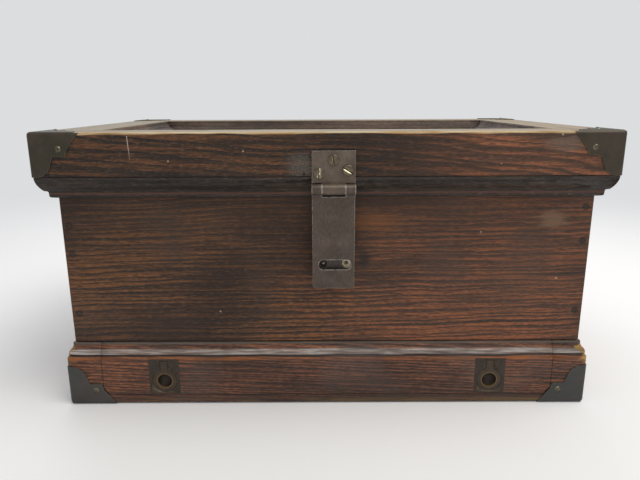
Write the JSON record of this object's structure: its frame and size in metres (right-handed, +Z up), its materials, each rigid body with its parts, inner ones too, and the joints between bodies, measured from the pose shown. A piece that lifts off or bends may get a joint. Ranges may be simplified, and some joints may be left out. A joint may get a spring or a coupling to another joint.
{
  "type": "lidded chest with a plinth drawer",
  "caption": "Small dark wooden chest with a framed lift-up lid, cornice, moulded plinth holding a shallow drawer, brass corner caps, ring pulls and a steel hasp.",
  "frame": {"origin": "on the floor under the middle of the case, 0.9 mm below the bottom board", "axes": "+Z up, +Y to the back, so the hasp and drawer face -Y; +X to the right seen from the front"},
  "size_m": [0.5104, 0.3358, 0.2597],
  "materials": {
    "case_wood": "dark stained softwood with open, worn varnish",
    "lid_wood": "dark stained softwood, rubbed pale along the top edges",
    "panel_wood": "dark stained softwood panel",
    "cornice_wood": "grey-black painted and waxed moulding",
    "plinth_wood": "dark stained softwood, raw and yellow where it is chipped",
    "inner_wood": "unstained softwood gone brown with age",
    "lid_brass": "olive tarnish over sheet brass",
    "base_brass": "grey-green tarnish over sheet brass",
    "cap_nails": "rubbed domes",
    "pull_brass": "dark patina with a brighter rim",
    "hasp_steel": "brown patina, bright worn edges",
    "brass_screws": "slotted heads, dull with bright slots",
    "iron": "dark iron, lightly rusted"
  },
  "bodies": {
    "case": {"back_board": "case_wood", "base_block_left": "plinth_wood", "base_block_right": "plinth_wood", "base_cap_back_left": "base_brass", "base_cap_back_right": "base_brass", "base_cap_front_left": "base_brass", "base_cap_front_right": "base_brass", "base_cap_nails": "cap_nails", "base_skirt_back": "plinth_wood", "base_skirt_left": "plinth_wood", "base_skirt_right": "plinth_wood", "bottom_board": "inner_wood", "bottom_rail": "plinth_wood", "case_hinge_leaves": "iron", "case_hinge_screws": "iron", "case_nails": "iron", "chest_floor": "inner_wood", "cornice_front": "cornice_wood", "cornice_left": "cornice_wood", "cornice_right": "cornice_wood", "drawer_guides": "inner_wood", "drawer_stops": "inner_wood", "front_board": "case_wood", "hinge_pins": "iron", "left_board": "case_wood", "right_board": "case_wood", "staple_block": "case_wood", "staple_leg": "iron", "staple_plate": "iron"},
    "lid": {"lid_cap_back_left": "lid_brass", "lid_cap_back_right": "lid_brass", "lid_cap_front_left": "lid_brass", "lid_cap_front_right": "lid_brass", "lid_cap_nails": "cap_nails", "lid_frame_back": "lid_wood", "lid_frame_front": "lid_wood", "lid_frame_left": "lid_wood", "lid_frame_right": "lid_wood", "lid_hinge_leaves": "iron", "lid_hinge_screws": "iron", "lid_moulding_back": "lid_wood", "lid_moulding_front": "lid_wood", "lid_moulding_left": "lid_wood", "lid_moulding_right": "lid_wood", "lid_panel": "panel_wood", "hasp_plate": "hasp_steel", "hasp_screws": "brass_screws", "hasp_pin": "hasp_steel"},
    "hasp": {"hasp_leaf": "hasp_steel"},
    "drawer": {"drawer_front": "plinth_wood", "drawer_side_left": "inner_wood", "drawer_side_right": "inner_wood", "drawer_back": "inner_wood", "drawer_bottom": "inner_wood", "pull_plate_left": "pull_brass", "pull_plate_right": "pull_brass", "pull_pins": "pull_brass"},
    "ring_left": {"pull_ring_left": "pull_brass"},
    "ring_right": {"pull_ring_right": "pull_brass"}
  },
  "joints": [
    {"name": "lid_hinge", "type": "hinge", "parent": "case", "child": "lid", "pos_m": [0, 0.1506, 0.2196], "axis": [-1, 0, 0], "range_deg": [0, 100]},
    {"name": "hasp_hinge", "type": "hinge", "parent": "lid", "child": "hasp", "pos_m": [0.0058, -0.1668, 0.2093], "axis": [-1, 0, 0], "range_deg": [0, 170]},
    {"name": "drawer_slide", "type": "slide", "parent": "case", "child": "drawer", "axis": [0, -1, 0], "range_m": [0, 0.22]},
    {"name": "ring_left_pivot", "type": "hinge", "parent": "drawer", "child": "ring_left", "pos_m": [-0.1547, -0.15335, 0.043], "axis": [-1, 0, 0], "range_deg": [0, 90]},
    {"name": "ring_right_pivot", "type": "hinge", "parent": "drawer", "child": "ring_right", "pos_m": [0.1547, -0.15335, 0.043], "axis": [-1, 0, 0], "range_deg": [0, 90]}
  ]
}
